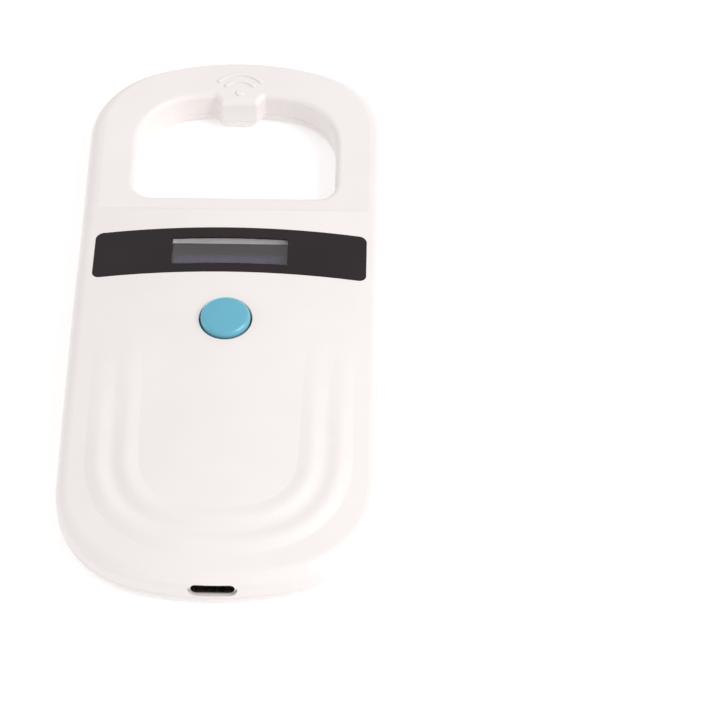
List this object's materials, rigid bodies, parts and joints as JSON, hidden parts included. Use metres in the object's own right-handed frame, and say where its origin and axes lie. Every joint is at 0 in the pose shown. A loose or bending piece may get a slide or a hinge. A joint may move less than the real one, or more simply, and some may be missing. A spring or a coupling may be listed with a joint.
{
  "type": "microchip scanner",
  "caption": "Handheld pet microchip scanner with a ring handle, black display panel, blue scan button and USB-C socket in the lower end",
  "frame": {"origin": "middle of the footprint, on the plane the scanner's back rests on", "axes": "+X to the right seen from the front with the handle up, +Y from the socket end to the ring handle, +Z out of the face"},
  "size_m": [0.0622, 0.136, 0.0138],
  "materials": {
    "white_shell": "satin",
    "black_panel": "satin",
    "clear_pane": "polished",
    "display_glass": "polished",
    "blue_key": "satin",
    "steel": "satin",
    "nickel": "satin",
    "gold": "polished",
    "black_plastic": "satin",
    "grey_foam": "matte",
    "ribbon": "satin",
    "green_board": "satin",
    "ceramic_chip": "matte",
    "silver_pouch": "satin",
    "adhesive": "matte",
    "ivory_plastic": "satin",
    "red_wire": "satin",
    "copper": "satin",
    "label_film": "matte"
  },
  "bodies": {
    "scanner": {"front_cover": "white_shell", "back_cover": "white_shell", "back_label": "label_film", "case_screws": "steel", "display_overlay": "black_panel", "display_window": "clear_pane", "oled_panel": "display_glass", "oled_holder": "grey_foam", "oled_flex": "ribbon", "switch_housing": "black_plastic", "switch_cover": "steel", "main_pcb": "green_board", "pcb_screws": "steel", "mcu_chip": "black_plastic", "rfid_chip": "black_plastic", "memory_chip": "black_plastic", "charger_chip": "black_plastic", "crystal_can": "nickel", "power_inductor": "black_plastic", "buzzer": "black_plastic", "small_passives": "ceramic_chip", "usb_shell": "nickel", "usb_tongue": "black_plastic", "usb_contacts": "gold", "battery_pouch": "silver_pouch", "battery_guard_board": "green_board", "battery_tape": "adhesive", "battery_header": "ivory_plastic", "battery_plug": "ivory_plastic", "battery_wires": "red_wire", "antenna_bobbin": "black_plastic", "antenna_coil": "copper", "antenna_leads": "copper"},
    "button": {"scan_button": "blue_key", "switch_plunger": "black_plastic"}
  },
  "joints": [
    {"name": "button_press", "type": "slide", "parent": "scanner", "child": "button", "axis": [0, 0, -1], "range_m": [0, 0.0004], "stiffness_N_per_m": 3000, "springref_m": -0.0002}
  ]
}
